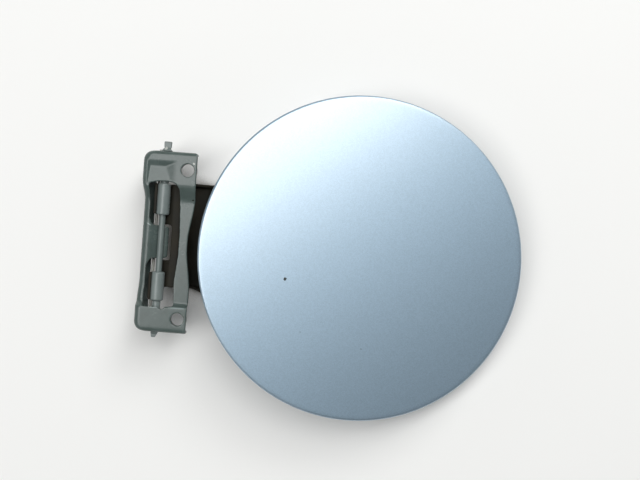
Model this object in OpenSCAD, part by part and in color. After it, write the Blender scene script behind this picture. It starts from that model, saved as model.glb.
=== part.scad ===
// Round fuel door with a gooseneck hinge arm and its hinge bracket.
// Units are millimetres. The origin lies midway between the two screw holes, on the
// face of the bracket that is screwed to the body. X points to the door, Y runs along
// the hinge pin and Z points out of the screwed face. The door is drawn near its open
// stop, resting on the bottom of the gooseneck and on the tip of the latch catch.

/* [Door] */
// Diameter of the painted outer panel
door_d = 165; // [150:1:175]
// Distance from the hinge pin to the near edge of the door
edge_reach = 19.6; // [19:0.2:22]
// Height of the door rim above the hinge pin
rim_height = 15; // [14:0.5:18]
// Radius of the crowned outer face
crown_r = 1450; // [900:50:2500]
// Thickness of the outer panel
skin_t = 0.8; // [0.7:0.05:1]
// Thickness of the inner panel
inner_t = 0.7; // [0.6:0.05:0.9]
// Width of the hem that folds over the inner panel
hem_w = 8; // [6:0.5:10]
// Depth of the dished inner panel below its rim
dish_depth = 6.6; // [5:0.2:8]

/* [Hinge] */
// Diameter of the hinge pin
pin_d = 3.2; // [3:0.1:3.6]
// Depth of the pin axis below the screwed face
pin_drop = 4.9; // [4.9:0.1:5.5]
// Distance from the line of the screw holes to the pin
pin_back = 11.8; // [11.4:0.1:12.2]
// Outer diameter of the knuckle tubes
tube_od = 6.6; // [6.2:0.1:6.6]
// Running clearance round the pin
run_clear = 0.05; // [0.03:0.01:0.08]
// Thickness of the arm
arm_t = 1.5; // [1.3:0.1:1.5]
// Depth of the gooseneck below the pin
neck_depth = 21; // [19:0.5:24]
// Opening of the gooseneck for the edge of the body panel
neck_gap = 13.8; // [12.5:0.2:15]
// Height of the stiffening flanges along the gooseneck
arm_flange_h = 3.4; // [2.6:0.2:4.2]

/* [Bracket] */
// Distance between the two screw holes
screw_spacing = 76; // [72:0.5:78]
// Diameter of the screw holes
screw_d = 6.6; // [5.5:0.1:7]
// Thickness of the bracket sheet
sheet_t = 1.5; // [1.2:0.1:1.6]
// Depth of the end walls that carry the pin
end_wall_h = 13.8; // [13.2:0.2:16]
// Depth of the side wall between the end walls
side_wall_h = 13; // [9:0.5:13]
// How far the two rails lie below the screwed faces
rail_drop = 3; // [2:0.2:3]
// Diameter of the hold spring wire
wire_d = 1.5; // [1.2:0.1:1.6]

/* [Latch side] */
// How far the latch catch stands out of the inner panel
catch_h = 16.5; // [14:0.5:20]
// Width of the latch catch
catch_w = 20; // [17:0.5:24]
// Width of the slot for the latch
slot_w = 12; // [10:0.5:13]
// Height of the slot for the latch
slot_h = 7; // [6:0.5:7.5]
// Diameter of the rubber buffers
buffer_d = 11; // [9:0.5:13]
// Height of the rubber buffers
buffer_h = 4.5; // [3:0.5:5]

/* [Hidden] */
$fn = 72;

bracket_grey = "#74796f";
arm_black = "#24261f";
paint_blue = "#a9bdcb";
rubber_black = "#1b1b1b";

// Bracket outline: top and bottom ends, left and right edges
edge_above = 9.1;
edge_below = 7.2;
end_top = screw_spacing / 2 + edge_above;
end_bottom = -screw_spacing / 2 - edge_below;
left_top = -23;
left_mid = -21.6;
left_bottom = -22.3;
side_foot = -18.3;
side_draft = 1;
side_end = 33;
right_end = 4.7;
right_waist = 2.6;
waist_half = 24;
plan_r = 5;
left_bend_r = 3;
end_bend_r = 1.8;
cut_r = 1.5;

// Where the end faces pass into the lower rails
top_slope = [21.5, 30.5];
bottom_slope = [-32.4, -30.2];

// Window between the rails
window_top = 31.1;
window_bottom = -32.4;
window_left = -18.2;
window_right = -2.6;

pin_x = -pin_back;
pin_z = -pin_drop;
hole_slack = 0.06;

// Arm
weld_gap = 0.05;
wrap_r = tube_od / 2 + weld_gap + arm_t / 2;
lip_up = 0.8;
exit_angle = 40;
stop_gap = 0.4;
shoulder_z = pin_drop - rail_drop - sheet_t - stop_gap - arm_t / 2;
shoulder_x = wrap_r * tan(exit_angle / 2) + (shoulder_z + wrap_r) / tan(exit_angle);
leg_x = 10.4;
leg_lean = 1.2;
foot_rise = 6.4;
neck_r = 6;
arm_top = 32.2;
arm_bottom = -23.4;
leaf_bottom = -22.3;
notch_x = wrap_r + 1;
notch_gap = 0.6;
plan_reach = 40;
leaf_cut = -1.2;

// Tubes: barrels between the leaves and the end walls
barrel_top = [14.6, 30.8];
barrel_bottom = [-29.4, -14.6];
neck_od = pin_d + 1;
end_play = 0.15;

// Door
door_r = door_d / 2;
door_x = edge_reach + door_r;
fold_gap = 0.1;
fold_t = 2 * skin_t + inner_t + 2 * fold_gap;
fold_x = door_r - fold_t / 2;
crown_z = -sqrt(crown_r * crown_r - fold_x * fold_x);
inner_mid = -skin_t - fold_gap - inner_t / 2;
plate_mid = inner_mid - dish_depth;
plate_under = plate_mid - inner_t / 2;
dish_r = door_r - hem_w - 6.5;
dish_run = 4.5;
hub_r = 27;
hub_run = 4.5;
hub_rise = 4.4;
foot_z = rim_height + plate_under - arm_t / 2;
foot_end = door_x - hub_r + 6;

// Latch side, measured from the door centre
catch_t = 1.5;
catch_x = dish_r - 9;
catch_foot = 19;
catch_tip_r = 0.6;
rivet_d = 4;
rivet_slack = 0.05;
buffer_r = dish_r - 13.8;
buffer_x = buffer_r * cos(60);
buffer_y = buffer_r * sin(60);

// Hold spring, measured from the pin
wire_at = [-4, -5.5];

// Corner points of the arm's section and its bend radii, measured from the pin
arm_path = [
    [-wrap_r, lip_up],
    [-wrap_r, -wrap_r],
    [wrap_r * tan(exit_angle / 2), -wrap_r],
    [shoulder_x, shoulder_z],
    [leg_x, shoulder_z],
    [leg_x + leg_lean, -neck_depth],
    [leg_x + leg_lean + neck_gap, -neck_depth],
    [leg_x + leg_lean + neck_gap + foot_rise, foot_z],
    [foot_end, foot_z]
];
arm_bends = [0, wrap_r, wrap_r, 1.5, 2.4, neck_r, neck_r, 4, 0];

// The angle at which the gooseneck and the catch touch the same level surface
rest_neck = corner_centre(arm_path[5], arm_path[6], arm_path[7], neck_r);
rest_neck_r = neck_r + arm_t / 2;
rest_tip = [door_x + catch_x + catch_t - catch_tip_r, rim_height + plate_under - catch_h + catch_tip_r];
rest_run = rest_tip - rest_neck;
rest_angle = atan2(rest_run[1], rest_run[0]) + asin((rest_neck_r - catch_tip_r) / norm(rest_run));

function unit(v) = v / norm(v);
function smooth(t) = let (c = max(0, min(1, t))) c * c * (3 - 2 * c);
function between(v, span) = smooth((v - span[0]) / (span[1] - span[0]));

// Bent paths: each corner becomes an arc of its bend radius
function half_angle(a, b, c) = acos(unit(a - b) * unit(c - b)) / 2;
function corner_centre(a, b, c, r) = b + unit(unit(a - b) + unit(c - b)) * r / sin(half_angle(a, b, c));
function corner_arc(a, b, c, r, steps) =
    let (
        m = corner_centre(a, b, c, r),
        cut = r / tan(half_angle(a, b, c)),
        from = b + unit(a - b) * cut - m,
        to = b + unit(c - b) * cut - m,
        start = atan2(from[1], from[0]),
        turn = atan2(cross(from, to), from * to)
    )
    [for (k = [0 : steps]) m + r * [cos(start + turn * k / steps), sin(start + turn * k / steps)]];
function distinct(p) = [for (k = [0 : len(p) - 1]) if (k == 0 || norm(p[k] - p[k - 1]) > 0.01) p[k]];
function bent(p, r, steps = 8) = distinct([
    p[0],
    for (k = [1 : len(p) - 2]) each (r[k] > 0 ? corner_arc(p[k - 1], p[k], p[k + 1], r[k], steps) : [p[k]]),
    p[len(p) - 1]
]);
function rounded(p, r, steps = 6) = let (n = len(p)) [
    for (k = [0 : n - 1]) each (r[k] > 0
        ? corner_arc(p[(k + n - 1) % n], p[k], p[(k + 1) % n], r[k], steps)
        : [p[k]])
];
function normal_at(p, k) =
    let (v = unit(p[min(k + 1, len(p) - 1)] - p[max(k - 1, 0)]))
    [-v[1], v[0]];
function beside(p, d) = [for (k = [0 : len(p) - 1]) p[k] + d * normal_at(p, k)];
function reversed(p) = [for (k = [len(p) - 1 : -1 : 0]) p[k]];
function band(p, above, below) = concat(beside(p, above), reversed(beside(p, -below)));

// Draws a section of X and Z along Y, from one place to another
module along_y(from, to) {
    translate([0, to, 0])
        rotate([90, 0, 0])
            linear_extrude(to - from)
                children();
}

// Places what is drawn about the pin axis
module at_pin() {
    translate([pin_x, 0, pin_z])
        children();
}

// Places what turns with the door
module lid() {
    at_pin()
        rotate([0, rest_angle, 0])
            children();
}

// Places what is drawn about the centre of the door rim
module door() {
    lid()
        translate([door_x, 0, rim_height])
            children();
}

// Bracket surfaces: height of the top, left edge and right edge along Y
function level(y) = -rail_drop * (1 - between(y, top_slope)) * between(y, bottom_slope);
function left_edge(y) =
    left_mid
    + (left_top - left_mid) * between(y, [22, 33])
    + (left_bottom - left_mid) * between(-y, [20, 29.5]);
function foot_edge(y) = side_foot + (left_edge(y) + side_draft - side_foot) * between(abs(y), [side_end, side_end + 9]);
function right_edge(y) =
    right_end - right_waist * (abs(y) < waist_half ? (1 + cos(180 * y / waist_half)) / 2 : 0);

// How far a rounded end of radius r draws back at the distance d from that end
function rounding(d, r) = d >= r ? 0 : r - sqrt(max(0, r * r - (r - d) * (r - d)));
function end_distance(y, inset) = min(end_top - inset - y, y - end_bottom - inset);

function bracket_section(y, inset, over) =
    let (
        d = end_distance(y, inset),
        top = level(y) - inset - rounding(d, end_bend_r - inset),
        left = left_edge(y) + inset + rounding(d, plan_r - inset),
        right = right_edge(y) + over - (over > 0 ? 0 : rounding(end_top - y, cut_r)),
        bend = left_bend_r - inset,
        low = -end_wall_h - over,
        lean = (foot_edge(y) - left_edge(y)) * (top - bend - low) / (top - bend + end_wall_h)
    )
    [
        [right, y, low],
        [right, y, top],
        for (a = [90 : 22.5 : 180]) [left + bend + bend * cos(a), y, top - bend + bend * sin(a)],
        [left + lean, y, low]
    ];
function stations(inset) =
    let (
        r = plan_r - inset,
        low = end_bottom + inset,
        high = end_top - inset
    )
    concat(
        [for (a = [90 : -15 : 15]) low + r * (1 - sin(a))],
        [low + r, bottom_slope[0]],
        [for (k = [1 : 4]) bottom_slope[0] + (bottom_slope[1] - bottom_slope[0]) * k / 4],
        [-26, -waist_half, -20, -15, -10, -5, 0, 5, 10, 15, 19],
        [for (k = [0 : 6]) top_slope[0] + (top_slope[1] - top_slope[0]) * k / 6],
        [33, high - r],
        [for (a = [15 : 15 : 90]) high - r * (1 - sin(a))]
    );

// Solid through a row of sections with the same number of points
module loft(rows) {
    n = len(rows[0]);
    last = len(rows) - 1;
    polyhedron(
        [for (row = rows) each row],
        concat(
            [[for (k = [n - 1 : -1 : 0]) k]],
            [[for (k = [0 : n - 1]) last * n + k]],
            [for (j = [0 : last - 1]) for (k = [0 : n - 1]) [j * n + k, j * n + (k + 1) % n, (j + 1) * n + (k + 1) % n]],
            [for (j = [0 : last - 1]) for (k = [0 : n - 1]) [j * n + k, (j + 1) * n + (k + 1) % n, (j + 1) * n + k]]
        )
    );
}

module bracket_block(inset, over) {
    loft([for (y = stations(inset)) bracket_section(y, inset, over)]);
}

module window_outline() {
    polygon(rounded(
        [
            [window_left - 0.9, window_top - 0.7],
            [window_left, 20],
            [window_left, -20],
            [window_left - 0.4, window_bottom],
            [-10.4, window_bottom],
            [-9.6, window_bottom - 0.7],
            [-7.8, window_bottom - 0.7],
            [-6.8, window_bottom + 0.4],
            [window_right - 0.3, window_bottom + 0.8],
            [window_right - 0.9, -19],
            [window_right + 0.3, -6],
            [window_right + 0.3, 6],
            [window_right - 1, window_top - 0.3],
            [-9.5, window_top + 0.7],
            [-14, window_top + 0.6]
        ],
        [1.2, 20, 20, 1, 0.6, 0.6, 0.8, 0.6, 0.8, 16, 25, 25, 5, 8, 12]
    ));
}

// Tongue that carries the middle of the pin, measured from the pin
tongue_top = -pin_d / 2 - hole_slack / 2;
tongue_path = [
    [left_mid - pin_x + left_bend_r - 0.1, pin_drop - rail_drop - sheet_t / 2],
    [window_left - pin_x + 0.7, pin_drop - rail_drop - sheet_t / 2],
    [-1.5, tongue_top - sheet_t / 2],
    [2.3, tongue_top - sheet_t / 2],
    [2.8, tongue_top - sheet_t / 2 - 1.1]
];
tongue_mid = 0.6;
tongue_root = 10.8;
tongue_half = 8.5;
tongue_tip = 6.5;

module tongue() {
    translate([0, tongue_mid, 0])
        intersection() {
            at_pin()
                along_y(-tongue_root - 2, tongue_root + 2)
                    polygon(band(bent(tongue_path, [0, 2.2, 2.2, 0.9, 0], 6), sheet_t / 2, sheet_t / 2));
            translate([0, 0, -end_wall_h])
                linear_extrude(end_wall_h)
                    polygon(rounded(
                        [
                            [left_mid + sheet_t, -tongue_root - 1.5],
                            [window_left, -tongue_root - 1.5],
                            [window_left + 1.6, -tongue_half],
                            [pin_x + 1.5, -tongue_half],
                            [pin_x + 5, -tongue_tip],
                            [pin_x + 5, tongue_tip],
                            [pin_x + 1.5, tongue_half],
                            [window_left + 1.6, tongue_half],
                            [window_left, tongue_root + 1.5],
                            [left_mid + sheet_t, tongue_root + 1.5]
                        ],
                        [0, 0.6, 2.4, 2, 2.6, 2.6, 2, 2.4, 0.6, 0]
                    ));
        }
}

// Hollow that is pressed into the upper end face, steep above and open to the window
press_depth = 1;
press_mouth = 0.25;
press_left = -20.8;
press_right = -4.2;
press_top = end_top - 4.6;
press_run_top = 3.4;
press_run_left = 1.8;
press_run_right = 9;
press_out = 1;
press_steps = 8;
function press_wall(at, run, depth) = [
    for (k = [0 : press_steps]) [at + run * (1 - k / press_steps), -depth * (1 - smooth(k / press_steps))]
];

module pressed_hollow(extra) {
    mouth_y = window_top - 2;
    intersection() {
        rotate([90, 0, 90])
            translate([0, 0, left_top])
                linear_extrude(-left_top)
                    offset(delta = extra)
                        polygon(concat(
                            [
                                [press_top, press_out],
                                [mouth_y, press_out],
                                [mouth_y, -press_mouth]
                            ],
                            press_wall(press_top, -press_run_top, press_depth)
                        ));
        along_y(window_bottom, end_top)
            offset(delta = extra)
                polygon(concat(
                    [
                        [press_right, press_out],
                        [press_left, press_out]
                    ],
                    reversed(press_wall(press_left, press_run_left, press_depth + 0.1)),
                    press_wall(press_right, -press_run_right, press_depth + 0.1)
                ));
    }
}

// Collars round the screw holes and the places of the holes themselves
collar_h = 2.5;
collar_t = 1.4;

module at_screws() {
    for (side = [-1, 1])
        translate([0, side * screw_spacing / 2, 0])
            children();
}

module hinge_bracket() {
    color(bracket_grey)
        difference() {
            union() {
                difference() {
                    union() {
                        difference() {
                            bracket_block(0, 0);
                            bracket_block(sheet_t, 1);
                        }
                        intersection() {
                            pressed_hollow(sheet_t);
                            bracket_block(sheet_t / 2, 0);
                        }
                    }
                    translate([0, 0, -sheet_t - rail_drop - 2])
                        linear_extrude(sheet_t + rail_drop + 3)
                            window_outline();
                    along_y_side_cut();
                }
                tongue();
                at_screws()
                    translate([0, 0, -sheet_t - collar_h])
                        cylinder(d = screw_d + 2 * collar_t, h = sheet_t + collar_h - 0.3);
            }
            pressed_hollow(0);
            end_corner_cut();
            at_screws()
                translate([0, 0, -sheet_t - collar_h - 1])
                    cylinder(d = screw_d, h = sheet_t + collar_h + 2);
            at_pin()
                along_y(end_bottom - 1, end_top + 1)
                    circle(d = pin_d + hole_slack);
            at_pin()
                translate([wire_at[0], 0, wire_at[1]])
                    along_y(end_bottom - 1, end_top + 1)
                        circle(d = wire_d + hole_slack);
        }
}

// Clears the lower edge of the side wall so that the arm can swing under it
module along_y_side_cut() {
    translate([left_top - 1, 0, 0])
        rotate([90, 0, 90])
            linear_extrude(right_end - left_top + 2)
                polygon(rounded(
                    [
                        [-38, -end_wall_h - 2],
                        [38, -end_wall_h - 2],
                        [34, -side_wall_h],
                        [-34, -side_wall_h]
                    ],
                    [0, 0, 2, 2]
                ));
}

// Cuts the end walls back below the edge that faces the door
module end_corner_cut() {
    under = -rail_drop - sheet_t - 1;
    along_y(end_bottom - 1, end_top + 1)
        polygon([
            [right_end + 1, under],
            [right_end - 1, under],
            [-4, -end_wall_h - 1],
            [right_end + 1, -end_wall_h - 1]
        ]);
}

// Pin: a flared collar and a flattened paddle above, a staked point below
paddle_l = 4.7;
paddle_shift = 0.35;
paddle_w = 3.9;
paddle_t = 1.8;
collar_l = 1.5;
stake_l = 2.9;

module hinge_pin() {
    top = end_top + end_play;
    low = end_bottom - end_play;
    color(bracket_grey)
        at_pin() {
            rotate([-90, 0, 0])
                rotate_extrude()
                    polygon([
                        [0, low - 1],
                        [1, low - 1],
                        [pin_d / 2 + 0.4, low - 0.4],
                        [pin_d / 2 + 0.4, low],
                        [pin_d / 2, low],
                        [pin_d / 2, top],
                        [pin_d - 0.2, top],
                        [pin_d - 0.5, top + 0.4],
                        [paddle_w / 2 - 0.3, top + collar_l],
                        [0.7, top + collar_l + 0.8],
                        [0, top + collar_l + 0.8]
                    ]);
            translate([paddle_shift, 0, -paddle_t / 2])
                linear_extrude(paddle_t)
                    polygon([
                        [-1.1, top + 0.7],
                        [1.1, top + 0.7],
                        [paddle_w / 2 - 0.1, top + collar_l + 0.6],
                        [paddle_w / 2, top + collar_l + paddle_l - 1.6],
                        [paddle_w / 2 - 0.3, top + collar_l + paddle_l - 1.3],
                        [0.3 - paddle_w / 2, top + collar_l + paddle_l - 1.3],
                        [-paddle_w / 2, top + collar_l + paddle_l - 1.6],
                        [0.1 - paddle_w / 2, top + collar_l + 0.6]
                    ]);
            translate([0, 0, -0.95])
                linear_extrude(1.9)
                    polygon([
                        [-1.8, low - 0.2],
                        [-1.4, low - stake_l],
                        [0.5, low - stake_l],
                        [1.8, low - 0.2]
                    ]);
        }
}

// Straight wire that the arm's leaves ride against at the open stop
module hold_spring() {
    color("#8d9088")
        at_pin()
            translate([wire_at[0], 0, wire_at[1]])
                along_y(end_bottom - 1, end_top + 1)
                    circle(d = wire_d);
}

// Plan of the arm, measured from the pin: two leaves, the neck and the foot
module arm_plan() {
    notch_half = tongue_half + notch_gap;
    polygon(rounded(
        [
            [-wrap_r - arm_t, barrel_top[0] + 0.3],
            [-wrap_r - arm_t, barrel_top[1] - 0.3],
            [leg_x - 2, barrel_top[1] - 0.3],
            [leg_x + 1, arm_top],
            [leg_x + 22, arm_top - 0.4],
            [leg_x + 32, arm_top - 4],
            [foot_end, 16],
            [foot_end, -14],
            [leg_x + 32, -26],
            [leg_x + 20, -29],
            [leg_x + 6, arm_bottom],
            [leg_x + 1, arm_bottom],
            [leg_x - 2, leaf_bottom],
            [wrap_r - 1, leaf_bottom],
            [wrap_r - 1, barrel_bottom[0] + 0.3],
            [-wrap_r - arm_t, barrel_bottom[0] + 0.3],
            [-wrap_r - arm_t, barrel_bottom[1] - 0.3],
            [leaf_cut, barrel_bottom[1] - 0.3],
            [leaf_cut, tongue_mid - notch_half],
            [notch_x, tongue_mid - notch_half],
            [notch_x, tongue_mid + notch_half],
            [leaf_cut, tongue_mid + notch_half],
            [leaf_cut, barrel_top[0] + 0.3]
        ],
        [0.8, 0.8, 2, 2, 8, 12, 9, 9, 12, 6, 6, 2, 2, 0.8, 0.8, 0.8, 0.8, 0.6, 0.6, 1, 1, 0.6, 0.6]
    ));
}

// Rivet places of the foot, measured from the pin
function arm_rivet_places() = [[foot_end - 10, 9], [foot_end - 10, -7], [foot_end - 34, 20], [foot_end - 34, -18]];

module hinge_arm() {
    neck_path = [
        [leg_x + 0.2, -4],
        [leg_x + leg_lean, -neck_depth],
        [leg_x + leg_lean + neck_gap, -neck_depth],
        [leg_x + leg_lean + neck_gap + foot_rise - 1.2, foot_z - 5]
    ];
    color(arm_black)
        lid()
            difference() {
                union() {
                    intersection() {
                        along_y(-plan_reach, plan_reach)
                            polygon(band(bent(arm_path, arm_bends, 8), arm_t / 2, arm_t / 2));
                        translate([0, 0, -neck_depth - 5])
                            linear_extrude(neck_depth + rim_height)
                                arm_plan();
                    }
                    intersection() {
                        along_y(-plan_reach, plan_reach)
                            polygon(band(bent(neck_path, [0, neck_r, neck_r, 0], 8), arm_flange_h, 0));
                        translate([0, 0, -neck_depth - 5])
                            linear_extrude(neck_depth + rim_height)
                                difference() {
                                    arm_plan();
                                    offset(delta = -arm_t)
                                        arm_plan();
                                }
                    }
                }
                for (p = arm_rivet_places())
                    translate([p[0], p[1], foot_z - 3])
                        cylinder(d = rivet_d + 2 * rivet_slack, h = 6);
                translate([foot_end - 22, 1, foot_z - 3])
                    cylinder(d = 14, h = 6);
            }
}

// Tube that turns on the pin: a barrel in the arm's leaf and a neck that reaches the end wall
module knuckle_tube(barrel, wall) {
    side = wall > 0 ? 1 : -1;
    outer = side > 0 ? barrel[1] : -barrel[0];
    inner = side > 0 ? barrel[0] : -barrel[1];
    reach = abs(wall) - sheet_t - end_play;
    chamfer = 0.5;
    color(bracket_grey)
        lid()
            rotate([-90 * side, 0, 0])
                rotate_extrude()
                    polygon([
                        [pin_d / 2 + run_clear, inner],
                        [tube_od / 2 - chamfer, inner],
                        [tube_od / 2, inner + chamfer],
                        [tube_od / 2, outer - chamfer],
                        [tube_od / 2 - chamfer, outer],
                        [neck_od / 2, outer],
                        [neck_od / 2, reach],
                        [pin_d / 2 + run_clear, reach]
                    ]);
}

module knuckle_tube_upper() {
    knuckle_tube(barrel_top, end_top);
}

module knuckle_tube_lower() {
    knuckle_tube(barrel_bottom, end_bottom);
}

// Crowned outer panel with its edge folded under the inner panel
module outer_panel() {
    color(paint_blue)
        door()
            rotate_extrude($fn = 180) {
                intersection() {
                    translate([0, crown_z])
                        difference() {
                            circle(crown_r, $fn = 720);
                            circle(crown_r - skin_t, $fn = 720);
                        }
                    translate([0, -2 * skin_t])
                        square([fold_x, 12]);
                }
                intersection() {
                    translate([fold_x, -fold_t / 2])
                        difference() {
                            circle(fold_t / 2, $fn = 48);
                            circle(fold_t / 2 - skin_t, $fn = 48);
                        }
                    translate([fold_x, -fold_t])
                        square([fold_t, fold_t]);
                }
                translate([door_r - hem_w, -fold_t])
                    square([fold_x - door_r + hem_w, skin_t]);
            }
}

// Dished inner panel whose edge lies in the hem
module inner_panel() {
    dish = bent(
        [
            [0, plate_mid + hub_rise],
            [hub_r - hub_run, plate_mid + hub_rise],
            [hub_r, plate_mid],
            [dish_r - dish_run, plate_mid],
            [dish_r, inner_mid],
            [door_r - fold_t + 0.4, inner_mid]
        ],
        [0, 2, 2, 2.4, 2.4, 0], 5
    );
    color(paint_blue)
        door()
            difference() {
                rotate_extrude($fn = 180)
                    polygon(band(dish, inner_t / 2, inner_t / 2));
                drain_holes();
                rivet_holes();
                at_buffers()
                    translate([0, 0, plate_under - 1])
                        cylinder(d = buffer_stem_d, h = punch_h);
            }
}

drain_d = 8;
drain_r = dish_r - 15;
hub_hole_d = 6;
hub_hole_r = hub_r - 13;
punch_h = inner_t + 2;

module drain_holes() {
    for (a = [120, 240])
        rotate(a)
            translate([drain_r, 0, plate_under - 1])
                cylinder(d = drain_d, h = punch_h);
    for (a = [30 : 120 : 270])
        rotate(a)
            translate([hub_hole_r, 0, plate_under + hub_rise - 1])
                cylinder(d = hub_hole_d, h = punch_h);
}

// Rivet places of the arm and of the catch, measured from the door centre
function catch_rivet_places() = [[catch_x - catch_foot / 2 + 1, 5.5], [catch_x - catch_foot / 2 + 1, -5.5]];
function door_rivet_places() = concat([for (p = arm_rivet_places()) [p[0] - door_x, p[1]]], catch_rivet_places());

module rivet_holes() {
    for (p = door_rivet_places())
        translate([p[0], p[1], plate_under - 1])
            cylinder(d = rivet_d + 2 * rivet_slack, h = punch_h);
}

// Round mastic pads between the raised hub and the outer panel
pad_d = 12;
pad_gap = 0.05;

module mastic_pads() {
    pad_floor = plate_mid + hub_rise + inner_t / 2 + pad_gap;
    pad_top = crown_z + sqrt(pow(crown_r - skin_t, 2) - pow(hub_r - hub_run, 2)) - 2 * pad_gap;
    color("#6b6a63")
        door()
            for (a = [90 : 120 : 330])
                rotate(a)
                    translate([hub_hole_r, 0, pad_floor])
                        cylinder(d = pad_d, h = pad_top - pad_floor, $fn = 48);
}

// Catch plate with the slot that the latch enters
module latch_catch() {
    path = [
        [catch_x - catch_foot, plate_under - catch_t / 2],
        [catch_x + catch_t / 2, plate_under - catch_t / 2],
        [catch_x + catch_t / 2, plate_under - catch_h]
    ];
    slot_z = plate_under - catch_h + 3 + slot_h / 2;
    color(arm_black)
        door()
            difference() {
                intersection() {
                    union() {
                        along_y(-catch_w / 2, catch_w / 2)
                            polygon(band(bent(path, [0, 2.2, 0], 8), catch_t / 2, catch_t / 2));
                    }
                    translate([catch_x - catch_foot - 1, 0, 0])
                        rotate([90, 0, 90])
                            linear_extrude(catch_foot + 10)
                                polygon(rounded(
                                    [
                                        [-catch_w / 2, plate_under],
                                        [-catch_w / 2, plate_under - catch_h],
                                        [catch_w / 2, plate_under - catch_h],
                                        [catch_w / 2, plate_under]
                                    ],
                                    [0, 3, 3, 0]
                                ));
                }
                translate([catch_x - 1, 0, slot_z])
                    rotate([90, 0, 90])
                        linear_extrude(catch_t + 2)
                            polygon(rounded(
                                [
                                    [-slot_w / 2, -slot_h / 2],
                                    [slot_w / 2, -slot_h / 2],
                                    [slot_w / 2, slot_h / 2],
                                    [-slot_w / 2, slot_h / 2]
                                ],
                                [1.5, 1.5, 1.5, 1.5]
                            ));
                for (p = catch_rivet_places())
                    translate([p[0], p[1], plate_under - catch_t - 1])
                        cylinder(d = rivet_d + 2 * rivet_slack, h = catch_t + 2);
            }
}

// Rivet through the inner panel and a plate of thickness t below it
rivet_head_r = 3.7;
rivet_head_h = 1.2;

module rivet(t) {
    low = plate_under - t;
    high = plate_under + inner_t;
    rotate_extrude($fn = 48)
        polygon([
            [0, low - rivet_head_h],
            [rivet_head_r * 0.55, low - rivet_head_h * 0.85],
            [rivet_head_r * 0.88, low - rivet_head_h * 0.45],
            [rivet_head_r, low],
            [rivet_d / 2, low],
            [rivet_d / 2, high],
            [rivet_head_r, high],
            [rivet_head_r * 0.88, high + rivet_head_h * 0.45],
            [rivet_head_r * 0.55, high + rivet_head_h * 0.85],
            [0, high + rivet_head_h]
        ]);
}

module arm_rivets() {
    color(arm_black)
        door()
            for (p = arm_rivet_places())
                translate([p[0] - door_x, p[1], 0])
                    rivet(arm_t);
}

module catch_rivets() {
    color(arm_black)
        door()
            for (p = catch_rivet_places())
                translate([p[0], p[1], 0])
                    rivet(catch_t);
}

// Rubber buffers, pushed into holes of the inner panel
buffer_stem_d = 6;
buffer_grip = 0.05;

module at_buffers() {
    for (side = [-1, 1])
        translate([buffer_x, side * buffer_y, 0])
            children();
}

module buffer(side) {
    low = plate_under - buffer_grip;
    high = plate_under + inner_t + buffer_grip;
    stem = buffer_stem_d / 2 - buffer_grip;
    color(rubber_black)
        door()
            translate([buffer_x, side * buffer_y, 0])
                rotate_extrude($fn = 48)
                    polygon([
                        [0, low - buffer_h],
                        [buffer_d / 2 - 1.6, low - buffer_h],
                        [buffer_d / 2 - 0.5, low - buffer_h + 0.6],
                        [buffer_d / 2, low - buffer_h + 2],
                        [buffer_d / 2, low],
                        [stem, low],
                        [stem, high],
                        [stem + 0.9, high],
                        [stem + 0.9, high + 0.6],
                        [stem - 1, high + 2.4],
                        [0, high + 2.4]
                    ]);
}

module buffer_upper() {
    buffer(1);
}

module buffer_lower() {
    buffer(-1);
}

hinge_bracket();
hinge_pin();
hold_spring();
hinge_arm();
knuckle_tube_upper();
knuckle_tube_lower();
outer_panel();
inner_panel();
mastic_pads();
latch_catch();
arm_rivets();
catch_rivets();
buffer_upper();
buffer_lower();
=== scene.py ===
"""Round fuel door with a gooseneck hinge, dressed over its packed construction model.

The sections follow the door as it is put together: the stamped hinge bracket, its pin and
hold spring, the arm with its knuckle tubes, the painted door skin, the inner panel and its
mastic pads, and then the catch, the rivets and the buffers. The floor, the lamps and the
camera come last.
"""

import math

import bmesh
import bpy
from mathutils import Matrix, Vector


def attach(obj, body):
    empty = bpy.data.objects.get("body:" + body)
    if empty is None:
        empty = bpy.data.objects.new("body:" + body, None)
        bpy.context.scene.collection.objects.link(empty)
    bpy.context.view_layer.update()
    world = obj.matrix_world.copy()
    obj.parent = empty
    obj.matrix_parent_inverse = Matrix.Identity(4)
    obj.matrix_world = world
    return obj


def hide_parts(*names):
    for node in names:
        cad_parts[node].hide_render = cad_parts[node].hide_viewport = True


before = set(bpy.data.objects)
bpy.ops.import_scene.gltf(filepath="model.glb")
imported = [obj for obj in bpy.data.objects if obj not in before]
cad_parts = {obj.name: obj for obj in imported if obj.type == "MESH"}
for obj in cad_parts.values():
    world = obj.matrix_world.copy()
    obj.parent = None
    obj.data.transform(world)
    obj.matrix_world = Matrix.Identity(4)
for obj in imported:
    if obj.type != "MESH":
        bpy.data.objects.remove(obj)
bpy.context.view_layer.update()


# Hinge bracket. One pressing of 1.5 mm sheet steel with a window, a tongue for the pin and two
# collared screw holes, dip coated in grey green. Its cut and bent edges are softened by the
# press, and the coat has rubbed through to the steel on a few of them; these lighter edges are
# also a painted highlight of the bends. Painted highlight lines lie on the lower window lip and
# by the tongue's root.

def add(tree, kind, **settings):
    """Adds a node; each setting is one of the node's own values or one of its inputs."""
    node = tree.nodes.new("ShaderNode" + kind)
    for name, value in settings.items():
        if name in node.bl_rna.properties:
            setattr(node, name, value)
        else:
            node.inputs[name.replace("_", " ")].default_value = value
    return node


def link(tree, source, target):
    tree.links.new(source, target)


def new_group(name, inputs, outputs):
    """A node group with plain number inputs and the named outputs."""
    tree = bpy.data.node_groups.new(name, "ShaderNodeTree")
    for label, value in inputs.items():
        socket = tree.interface.new_socket(label, in_out="INPUT", socket_type="NodeSocketFloat")
        socket.default_value = value
    for label in outputs:
        tree.interface.new_socket(label, in_out="OUTPUT", socket_type="NodeSocketFloat")
    return tree, tree.nodes.new("NodeGroupInput"), tree.nodes.new("NodeGroupOutput")


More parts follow.
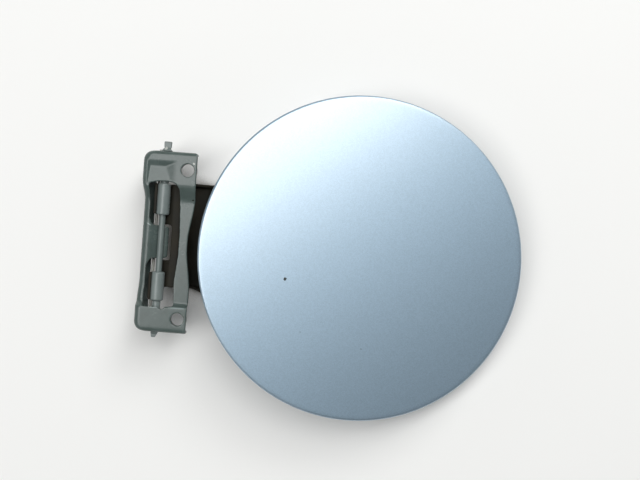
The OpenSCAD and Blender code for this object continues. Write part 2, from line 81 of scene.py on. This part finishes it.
def use_group(tree, group, **inputs):
    """Places a node group in a material, with this material's own values."""
    node = tree.nodes.new("ShaderNodeGroup")
    node.node_tree = group
    for name, value in inputs.items():
        node.inputs[name.replace("_", " ")].default_value = value
    return node


def edge_wear_group():
    """Mask of the outer edges, broken up into patches. An edge as sharp as Start begins to
    wear, one as sharp as Full is bare, and Patch Share is about how much keeps its coat."""
    tree, given, result = new_group(
        "edge wear",
        {"Start": 0.53, "Full": 0.6, "Patch Size": 350.0, "Patch Share": 0.5},
        ["Mask"])
    patch_fade = 0.12
    edge = add(tree, "NewGeometry")
    rise = add(tree, "MapRange", interpolation_type="SMOOTHSTEP")
    link(tree, edge.outputs["Pointiness"], rise.inputs["Value"])
    link(tree, given.outputs["Start"], rise.inputs["From Min"])
    link(tree, given.outputs["Full"], rise.inputs["From Max"])
    place = add(tree, "TexCoord")
    patches = add(tree, "TexNoise", Detail=4.0, Roughness=0.65)
    link(tree, place.outputs["Object"], patches.inputs["Vector"])
    link(tree, given.outputs["Patch Size"], patches.inputs["Scale"])
    limit = add(tree, "MapRange", interpolation_type="SMOOTHSTEP")
    shift = add(tree, "Math", operation="ADD")
    shift.inputs[1].default_value = patch_fade
    link(tree, given.outputs["Patch Share"], shift.inputs[0])
    link(tree, patches.outputs["Fac"], limit.inputs["Value"])
    link(tree, given.outputs["Patch Share"], limit.inputs["From Min"])
    link(tree, shift.outputs["Value"], limit.inputs["From Max"])
    both = add(tree, "Math", operation="MULTIPLY")
    link(tree, rise.outputs["Result"], both.inputs[0])
    link(tree, limit.outputs["Result"], both.inputs[1])
    link(tree, both.outputs["Value"], result.inputs["Mask"])
    return tree


def coat_grain_group():
    """Slow mottle of a coat, its fine orange peel, and the dirt that lies in the corners."""
    tree, given, result = new_group(
        "coat grain",
        {"Mottle Size": 90.0, "Peel Size": 1500.0, "Dirt Size": 260.0},
        ["Mottle", "Peel", "Dirt"])
    place = add(tree, "TexCoord")
    for label, detail, rough in (("Mottle", 5.0, 0.6), ("Peel", 2.0, 0.45)):
        noise = add(tree, "TexNoise", Detail=detail, Roughness=rough)
        link(tree, place.outputs["Object"], noise.inputs["Vector"])
        link(tree, given.outputs[label + " Size"], noise.inputs["Scale"])
        link(tree, noise.outputs["Fac"], result.inputs[label])
    edge = add(tree, "NewGeometry")
    corner = add(tree, "MapRange", interpolation_type="SMOOTHSTEP", From_Min=0.5, From_Max=0.4)
    link(tree, edge.outputs["Pointiness"], corner.inputs["Value"])
    dust = add(tree, "TexNoise", Detail=6.0, Roughness=0.7)
    link(tree, place.outputs["Object"], dust.inputs["Vector"])
    link(tree, given.outputs["Dirt Size"], dust.inputs["Scale"])
    lies = add(tree, "Math", operation="MULTIPLY")
    link(tree, corner.outputs["Result"], lies.inputs[0])
    link(tree, dust.outputs["Fac"], lies.inputs[1])
    link(tree, lies.outputs["Value"], result.inputs["Dirt"])
    return tree


def mark_group():
    """Mask of one chip or scratch: a ragged oval about a point, turned about Z."""
    tree, given, result = new_group(
        "mark",
        {"X": 0.0, "Y": 0.0, "Length": 0.001, "Width": 0.001, "Turn": 0.0, "Ragged": 0.3},
        ["Mask"])
    place = add(tree, "TexCoord")
    centre = add(tree, "CombineXYZ")
    link(tree, given.outputs["X"], centre.inputs["X"])
    link(tree, given.outputs["Y"], centre.inputs["Y"])
    from_centre = add(tree, "VectorMath", operation="SUBTRACT")
    link(tree, place.outputs["Object"], from_centre.inputs[0])
    link(tree, centre.outputs["Vector"], from_centre.inputs[1])
    turned_to = add(tree, "VectorRotate", rotation_type="Z_AXIS")
    link(tree, from_centre.outputs["Vector"], turned_to.inputs["Vector"])
    link(tree, given.outputs["Turn"], turned_to.inputs["Angle"])
    flat = add(tree, "VectorMath", operation="MULTIPLY")
    flat.inputs[1].default_value = (1, 1, 0)
    link(tree, turned_to.outputs["Vector"], flat.inputs[0])
    size = add(tree, "CombineXYZ", Z=1.0)
    link(tree, given.outputs["Length"], size.inputs["X"])
    link(tree, given.outputs["Width"], size.inputs["Y"])
    share = add(tree, "VectorMath", operation="DIVIDE")
    link(tree, flat.outputs["Vector"], share.inputs[0])
    link(tree, size.outputs["Vector"], share.inputs[1])
    reach = add(tree, "VectorMath", operation="LENGTH")
    link(tree, share.outputs["Vector"], reach.inputs[0])
    rough = add(tree, "TexNoise", Scale=1400.0, Detail=3.0)
    link(tree, place.outputs["Object"], rough.inputs["Vector"])
    wander = add(tree, "Math", operation="MULTIPLY_ADD")
    link(tree, rough.outputs["Fac"], wander.inputs[0])
    link(tree, given.outputs["Ragged"], wander.inputs[1])
    link(tree, reach.outputs["Value"], wander.inputs[2])
    edge = add(tree, "MapRange", interpolation_type="SMOOTHSTEP", From_Min=0.6, From_Max=0.45)
    link(tree, wander.outputs["Value"], edge.inputs["Value"])
    link(tree, edge.outputs["Result"], result.inputs["Mask"])
    return tree


edge_wear = edge_wear_group()
coat_grain = coat_grain_group()
mark = mark_group()


def tinted(tree, mask, under, over):
    """Colour that goes from under to over with the mask. Either can be a colour or a socket."""
    mix = add(tree, "Mix", data_type="RGBA")
    link(tree, mask, mix.inputs[0])
    for slot, colour in ((6, under), (7, over)):
        if isinstance(colour, tuple):
            mix.inputs[slot].default_value = (*colour, 1.0)
        else:
            link(tree, colour, mix.inputs[slot])
    return mix.outputs[2]


def ranged(tree, value, low, high, start=0.0, end=1.0):
    """Value that goes from low to high as the given one goes from start to end."""
    scale = add(tree, "MapRange", From_Min=start, From_Max=end, To_Min=low, To_Max=high)
    link(tree, value, scale.inputs["Value"])
    return scale.outputs["Result"]


def mark_mask(tree, place):
    """Mask of one mark, given as its x, y, length, width and turn."""
    x, y, length, width, turn = place
    spot = use_group(tree, mark, X=x, Y=y, Length=length, Width=width, Turn=turn)
    return spot.outputs["Mask"]


def marked(tree, colour, places, paint):
    """Puts marks of one paint on a colour."""
    for place in places:
        colour = tinted(tree, mark_mask(tree, place), colour, paint)
    return colour


def dipped_coat(name, dark, light, rough, bare=(0.46, 0.46, 0.44), wear=None, peel=0.00006,
                dirt=(0.09, 0.07, 0.05), shine=0.5, pale_marks=(), dark_marks=(), painted_highlight_marks=()):
    """Dip coat over steel: mottled colour, orange peel, dirt in the corners, worn edges and marks.
    The worn edges can also stand as a painted highlight of the bends, and the painted highlight
    marks are light lines laid where bends catch the light.
    wear gives the edge wear's Start, Full and Patch Share."""
    mottle_span = (0.3, 0.7)
    # Pale colour of chips, also used for painted highlights.
    chip_and_highlight_tone = (0.42, 0.44, 0.41)
    pitted = (0.02, 0.022, 0.018)
    # Colour of the painted highlight marks.
    painted_highlight_tone = (0.22, 0.265, 0.26)
    material = bpy.data.materials.new(name)
    material.use_nodes = True
    tree = material.node_tree
    shader = tree.nodes["Principled BSDF"]
    shader.inputs["Specular IOR Level"].default_value = shine
    grain = use_group(tree, coat_grain)
    mottle = grain.outputs["Mottle"]
    colour = tinted(tree, ranged(tree, mottle, 0, 1, *mottle_span), dark, light)
    dusty = ranged(tree, grain.outputs["Dirt"], low=0, high=0.8, start=0.1, end=0.5)
    colour = tinted(tree, dusty, colour, dirt)
    if wear:
        rubbed = use_group(tree, edge_wear, Start=wear[0], Full=wear[1], Patch_Share=wear[2])
        colour = tinted(tree, rubbed.outputs["Mask"], colour, bare)
        metal = ranged(tree, rubbed.outputs["Mask"], low=0, high=0.85)
        link(tree, metal, shader.inputs["Metallic"])
    colour = marked(tree, colour, painted_highlight_marks, painted_highlight_tone)
    colour = marked(tree, colour, pale_marks, chip_and_highlight_tone)
    colour = marked(tree, colour, dark_marks, pitted)
    link(tree, colour, shader.inputs["Base Color"])
    link(tree, ranged(tree, mottle, *rough, *mottle_span), shader.inputs["Roughness"])
    bump = add(tree, "Bump", Strength=0.35, Distance=peel)
    link(tree, grain.outputs["Peel"], bump.inputs["Height"])
    link(tree, bump.outputs["Normal"], shader.inputs["Normal"])
    return material


def put_in_scene(name, data):
    """Makes an object of a mesh, a lamp or a camera, and puts it in the scene."""
    thing = bpy.data.objects.new(name, data)
    bpy.context.scene.collection.objects.link(thing)
    return thing


def finish_piece(name, mesh, material, body, node):
    """Makes the piece of the mesh, rides it on its body and lets it stand for the node."""
    for face in mesh.polygons:
        face.use_smooth = True
    mesh.materials.append(material)
    piece = put_in_scene(name, mesh)
    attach(piece, body)
    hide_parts(node)


def softened(node, cell, passes):
    """Copy of a node's solid with its sharp edges rounded: closed cells, then smoothed."""
    weld = 0.000005
    shape = bmesh.new()
    shape.from_mesh(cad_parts[node].data)
    bmesh.ops.remove_doubles(shape, verts=shape.verts, dist=weld)
    raw = bpy.data.meshes.new(node + "_raw")
    shape.to_mesh(raw)
    shape.free()
    holder = put_in_scene(node + "_raw", raw)
    cells = holder.modifiers.new("cells", "REMESH")
    cells.mode = "VOXEL"
    cells.voxel_size = cell
    ease = holder.modifiers.new("ease", "SMOOTH")
    ease.factor = 0.5
    ease.iterations = passes
    depsgraph = bpy.context.evaluated_depsgraph_get()
    mesh = bpy.data.meshes.new_from_object(holder.evaluated_get(depsgraph))
    bpy.data.objects.remove(holder)
    return mesh


bracket_chip = (0.003, 0.0416, 0.0015, 0.0012, 0.6)
bracket_pit = (0.0036, 0.0231, 0.0013, 0.0011, 0)
# Painted highlights: light lines on the lower window lip and by the tongue's root, where these
# bends catch the light.
bracket_painted_highlights = [
    (-0.0003, -0.0322, 0.0115, 0.0008, 0),
    (-0.0112, -0.0325, 0.0105, 0.0006, 0),
    (-0.0181, 0.0094, 0.0028, 0.0008, 0.5)]
# The edge wear is set strong here: its bare colour is rubbed steel and also a painted highlight
# along the bends.
bracket_coat = dipped_coat(
    "bracket_coat", dark=(0.06, 0.081, 0.074), light=(0.088, 0.117, 0.11), rough=(0.2, 0.3),
    bare=(0.34, 0.36, 0.34), wear=(0.545, 0.61, 0.42), shine=0.4,
    pale_marks=[bracket_chip], dark_marks=[bracket_pit], painted_highlight_marks=bracket_painted_highlights)
finish_piece(
    "bracket_pressing", softened("hinge_bracket", cell=0.0003, passes=9), bracket_coat,
    "bracket", "hinge_bracket")


# Hinge pin. A 3.2 mm steel pin, pushed through the walls from above: its top is flared and
# hammered flat, its lower end is staked so that it can't draw out. Coated with the bracket.

# Painted highlight: a pale spot where the flattened top dips at its base.
pin_painted_highlight = (-0.0121, 0.0487, 0.0019, 0.0021, 0.2)
pin_coat = dipped_coat(
    "pin_coat", dark=(0.11, 0.138, 0.133), light=(0.155, 0.186, 0.178), rough=(0.3, 0.42),
    wear=(0.55, 0.62, 0.5), pale_marks=[pin_painted_highlight])
finish_piece(
    "pin_forging", softened("hinge_pin", cell=0.00018, passes=3), pin_coat,
    "bracket", "hinge_pin")


# Hold spring. A straight length of drawn spring wire, held in the two end walls beside the
# pin. It has no coat, and its bright steel has gone dull.

def recoat(node, material):
    """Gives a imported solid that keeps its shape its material."""
    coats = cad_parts[node].data.materials
    coats.clear()
    coats.append(material)


wire_finish = dipped_coat(
    "wire_finish", dark=(0.3, 0.31, 0.28), light=(0.42, 0.42, 0.38), rough=(0.3, 0.45),
    peel=0.00002)
recoat("hold_spring", wire_finish)


# Hinge arm. Pressed from 1.5 mm steel: two leaves curl round the tubes, the gooseneck drops
# below the body edge, and the foot is riveted to the door. Black dip coat, brown with dust.

arm_coat = dipped_coat(
    "arm_coat", dark=(0.012, 0.012, 0.009), light=(0.026, 0.023, 0.016), rough=(0.6, 0.8),
    bare=(0.12, 0.11, 0.1), wear=(0.57, 0.66, 0.6), dirt=(0.07, 0.05, 0.033), shine=0.2)
finish_piece(
    "arm_pressing", softened("hinge_arm", cell=0.0004, passes=4), arm_coat,
    "door", "hinge_arm")


# Knuckle tubes. Two turned steel tubes held in the curled leaves, each with a narrow neck that
# meets the end wall. They have the same grey green coat as the pin, smoother than the bracket.

tube_coat = dipped_coat(
    "tube_coat", dark=(0.138, 0.168, 0.164), light=(0.185, 0.217, 0.21), rough=(0.26, 0.34),
    wear=(0.53, 0.6, 0.55))
for name in ("upper", "lower"):
    node = "knuckle_tube_" + name
    finish_piece(
        "tube_" + name, softened(node, cell=0.00018, passes=3), tube_coat,
        "door", node)


# Door skin. A 165 mm disc of 0.8 mm sheet, slightly crowned, whose edge is rolled over and
# hemmed onto the inner panel. Silver blue metallic paint under clear lacquer, with a chip,
# two specks and three faint scratches.

rest_tilt = math.radians(4.88179)
pin_place = Vector((-0.0118, 0, -0.0049))
centre_from_pin = Vector((0.1021, 0, 0.015))
swing = Matrix.Rotation(rest_tilt, 4, "Y")
door_centre = pin_place + swing @ centre_from_pin
door_radius = 0.08249
skin = 0.0008
fold = 0.0025
fold_radius = door_radius - fold / 2
hem_width = 0.008
hem_radius = door_radius - hem_width
hem_chamfer = 0.0002
crown_radius = 1.45
crown_base = math.sqrt(crown_radius ** 2 - fold_radius ** 2)
ring_count = 40
ring_spread = 0.8
spin_steps = 256


def crown_height(radius, below=0.0):
    """Height over the rim of the crowned face, or of the surface that lies so far below it."""
    return math.sqrt((crown_radius - below) ** 2 - radius ** 2) - crown_base


def spun(profile, steps, place):
    """Body of revolution: a line of (radius, height) points, from the axis out and back to it,
    is spun about Z, tilted and put in its place."""
    weld = 1e-6
    shape = bmesh.new()
    points = [shape.verts.new((radius, 0, height)) for radius, height in profile]
    for first, second in zip(points, points[1:]):
        shape.edges.new((first, second))
    bmesh.ops.spin(
        shape, geom=shape.verts[:] + shape.edges[:], cent=(0, 0, 0), axis=(0, 0, 1),
        angle=2 * math.pi, steps=steps, use_merge=True)
    bmesh.ops.remove_doubles(shape, verts=shape.verts, dist=weld)
    bmesh.ops.recalc_face_normals(shape, faces=shape.faces)
    shape.transform(place)
    mesh = bpy.data.meshes.new("spun")
    shape.to_mesh(mesh)
    shape.free()
    return mesh


rings = [fold_radius * (k / ring_count) ** ring_spread for k in range(ring_count + 1)]
roll = [math.radians(a) for a in range(75, -91, -15)]
outside = fold / 2
inside = outside - skin
face_line = [(r, crown_height(r)) for r in rings]
face_line += [
    (fold_radius + outside * math.cos(a), outside * (math.sin(a) - 1)) for a in roll]
hem_line = [
    (hem_radius + hem_chamfer, -fold),
    (hem_radius, hem_chamfer - fold),
    (hem_radius, skin - fold)]
back_line = [
    (fold_radius + inside * math.cos(a), inside * math.sin(a) - outside) for a in reversed(roll)]
back_line += [(r, crown_height(r, skin)) for r in reversed(rings[::4])]
door_place = Matrix.Translation(door_centre) @ swing
door_skin = spun(face_line + hem_line + back_line, spin_steps, door_place)


def door_paint_material():
    """Metallic paint under clear lacquer, with its flakes, scratches, chip and specks. The chip
    goes through the lacquer and the metal of the paint."""
    flake_dark = (0.274, 0.384, 0.477)
    flake_light = (0.338, 0.464, 0.571)
    scratched = (0.3, 0.42, 0.54)
    undercoat = (0.012, 0.012, 0.012)
    scratches = [
        (0.0852, -0.0205, 0.0135, 0.00035, 0.5),
        (0.118, -0.0325, 0.0125, 0.0003, -0.05),
        (0.104, -0.0352, 0.008, 0.0003, -0.02)]
    chip = (0.05367, -0.01274, 0.002, 0.0022, 0.4)
    specks = [(0.09444, -0.04532, 0.0008, 0.0006, 0.2), (0.0632, -0.0388, 0.0006, 0.0005, 0)]
    material = bpy.data.materials.new("door_paint")
    material.use_nodes = True
    tree = material.node_tree
    shader = tree.nodes["Principled BSDF"]
    shader.inputs["Roughness"].default_value = 0.51
    shader.inputs["Coat IOR"].default_value = 2.1
    shader.inputs["Coat Roughness"].default_value = 0.28
    place = add(tree, "TexCoord")
    flake = add(tree, "TexVoronoi", Scale=2600.0)
    link(tree, place.outputs["Object"], flake.inputs["Vector"])
    tone = add(tree, "SeparateColor")
    link(tree, flake.outputs["Color"], tone.inputs["Color"])
    colour = tinted(tree, tone.outputs["Red"], flake_dark, flake_light)
    colour = marked(tree, colour, scratches, scratched)
    colour = marked(tree, colour, [chip] + specks, undercoat)
    link(tree, colour, shader.inputs["Base Color"])
    broken = mark_mask(tree, chip)
    link(tree, ranged(tree, broken, low=0.93, high=0.0), shader.inputs["Metallic"])
    link(tree, ranged(tree, broken, low=1.0, high=0.0), shader.inputs["Coat Weight"])
    bump = add(tree, "Bump", Strength=0.12, Distance=0.00003)
    link(tree, tone.outputs["Green"], bump.inputs["Height"])
    link(tree, bump.outputs["Normal"], shader.inputs["Normal"])
    return material


finish_piece("door_skin", door_skin, door_paint_material(), "door", "outer_panel")


# Inner panel. Dished sheet with a raised hub, drain holes and punched rivet holes; its edge is
# caught in the hem. It gets the same colour thinly, without the clear lacquer's shine.

inner_paint = dipped_coat(
    "inner_paint", dark=(0.26, 0.34, 0.41), light=(0.32, 0.41, 0.49), rough=(0.42, 0.55),
    peel=0.00005, dirt=(0.12, 0.1, 0.08))
recoat("inner_panel", inner_paint)


# Mastic pads. Three soft pads of grey mastic, pressed between the inner panel's raised hub and
# the door skin, so that the skin doesn't drum.

mastic = dipped_coat(
    "mastic", dark=(0.12, 0.115, 0.1), light=(0.17, 0.16, 0.14), rough=(0.75, 0.9), peel=0.0002)
recoat("mastic_pads", mastic)


# Latch catch. A bent steel plate with a slot for the latch bolt, riveted inside the far edge
# and dip coated black as the arm is.

finish_piece(
    "catch_plate", softened("latch_catch", cell=0.00028, passes=3), arm_coat,
    "door", "latch_catch")


# Rivets. Six round-headed steel rivets, four in the arm's foot and two in the catch. They go
# through the inner panel and are black like what they hold.

rivet_coat = dipped_coat(
    "rivet_coat", dark=(0.014, 0.014, 0.012), light=(0.026, 0.026, 0.022), rough=(0.32, 0.45),
    bare=(0.3, 0.29, 0.27), wear=(0.54, 0.62, 0.55))
for name in ("arm_rivets", "catch_rivets"):
    recoat(name, rivet_coat)


# Buffers. Two stops of moulded black rubber, pushed into holes of the inner panel, on which
# the closed door comes to rest.

rubber = dipped_coat(
    "rubber", dark=(0.012, 0.012, 0.012), light=(0.022, 0.022, 0.021), rough=(0.6, 0.75),
    peel=0.0001)
for name in ("buffer_upper", "buffer_lower"):
    recoat(name, rubber)


# Floor, lamps and camera. The door rests face up on a pale surface, on its gooseneck and the
# tip of its catch, under three soft lamps, and is seen from straight above. The surface has a
# painted shade: its colour turns dark where the part stands close over it.

floor_height = -0.02836
floor_reach = 1.3
sheet = bmesh.new()
bmesh.ops.create_grid(sheet, x_segments=1, y_segments=1, size=floor_reach)
bmesh.ops.translate(sheet, verts=sheet.verts, vec=(0, 0, floor_height))
floor_mesh = bpy.data.meshes.new("floor")
sheet.to_mesh(floor_mesh)
sheet.free()
floor = put_in_scene("floor", floor_mesh)

paper_pale = (0.885, 0.885, 0.867)
painted_shade_tone = (0.12, 0.11, 0.09)
painted_shade_reach = 0.028
floor_paper = bpy.data.materials.new("floor_paper")
floor_paper.use_nodes = True
paper = floor_paper.node_tree
paper_shader = paper.nodes["Principled BSDF"]
# Painted shade: the floor's colour darkens where ambient occlusion finds the part close above.
near = add(paper, "AmbientOcclusion", samples=16, Distance=painted_shade_reach)
clear = ranged(paper, near.outputs["AO"], low=0, high=1, start=0.34, end=0.68)
link(paper, tinted(paper, clear, painted_shade_tone, paper_pale), paper_shader.inputs["Base Color"])
paper_shader.inputs["Roughness"].default_value = 0.9
paper_shader.inputs["Specular IOR Level"].default_value = 0.1
floor.data.materials.append(floor_paper)

part_middle = Vector((0.07, 0, 0))
lamp_along = Vector((1, 0.85, 0))


def soft_lamp(name, place, width, length, power):
    """Rectangular lamp aimed at the middle of the part, its long side turned along lamp_along."""
    lamp = bpy.data.lights.new(name, "AREA")
    lamp.shape = "RECTANGLE"
    lamp.size = length
    lamp.size_y = width
    lamp.energy = power
    holder = put_in_scene(name, lamp)
    back = (Vector(place) - part_middle).normalized()
    side = (lamp_along - back * back.dot(lamp_along)).normalized()
    turn = Matrix((side, back.cross(side), back)).transposed()
    holder.rotation_euler = turn.to_euler()
    holder.location = place


soft_lamp("lamp_above", (-0.18, 0.24, 1.58), width=0.56, length=2.3, power=23.5)
soft_lamp("lamp_right", (0.40, 0.87, 1.45), width=0.8, length=0.8, power=2.6)
soft_lamp("lamp_window", (0.78, 1.36, 1.23), width=0.8, length=0.8, power=11)

# The room is dim overhead and lighter towards the horizon. What the camera sees of it, and in
# part what is mirrored in the part, is brighter than the light that it gives.
overhead = 0.06
mirrored_share = 0.6
world = bpy.data.worlds.new("room")
world.use_nodes = True
room = world.node_tree
sky = room.nodes["Background"]
sky.inputs["Color"].default_value = (0.97, 0.985, 1.0, 1)
direction = add(room, "TexCoord")
height = add(room, "SeparateXYZ")
link(room, direction.outputs["Generated"], height.inputs["Vector"])
light_given = ranged(room, height.outputs["Z"], low=0.48, high=overhead, start=0.3, end=0.65)
light_shown = ranged(room, height.outputs["Z"], low=0.9, high=overhead, start=0.1, end=0.45)
ray = add(room, "LightPath")
seen = add(room, "Math", operation="MULTIPLY_ADD")
seen.inputs[1].default_value = mirrored_share
link(room, ray.outputs["Is Glossy Ray"], seen.inputs[0])
link(room, ray.outputs["Is Camera Ray"], seen.inputs[2])
strength = add(room, "Mix", data_type="FLOAT")
link(room, seen.outputs["Value"], strength.inputs[0])
link(room, light_given, strength.inputs[2])
link(room, light_shown, strength.inputs[3])
link(room, strength.outputs[0], sky.inputs["Strength"])
bpy.context.scene.world = world

view = bpy.data.cameras.new("camera")
view.sensor_width = 36
view.lens = 57.06
camera = put_in_scene("camera", view)
camera.location = (0.07619, 0.01937, 0.51368)
camera.rotation_euler = [math.radians(a) for a in (-1.2151, 0.8271, 4.3202)]
bpy.context.scene.camera = camera
bpy.context.scene.view_settings.view_transform = "Standard"
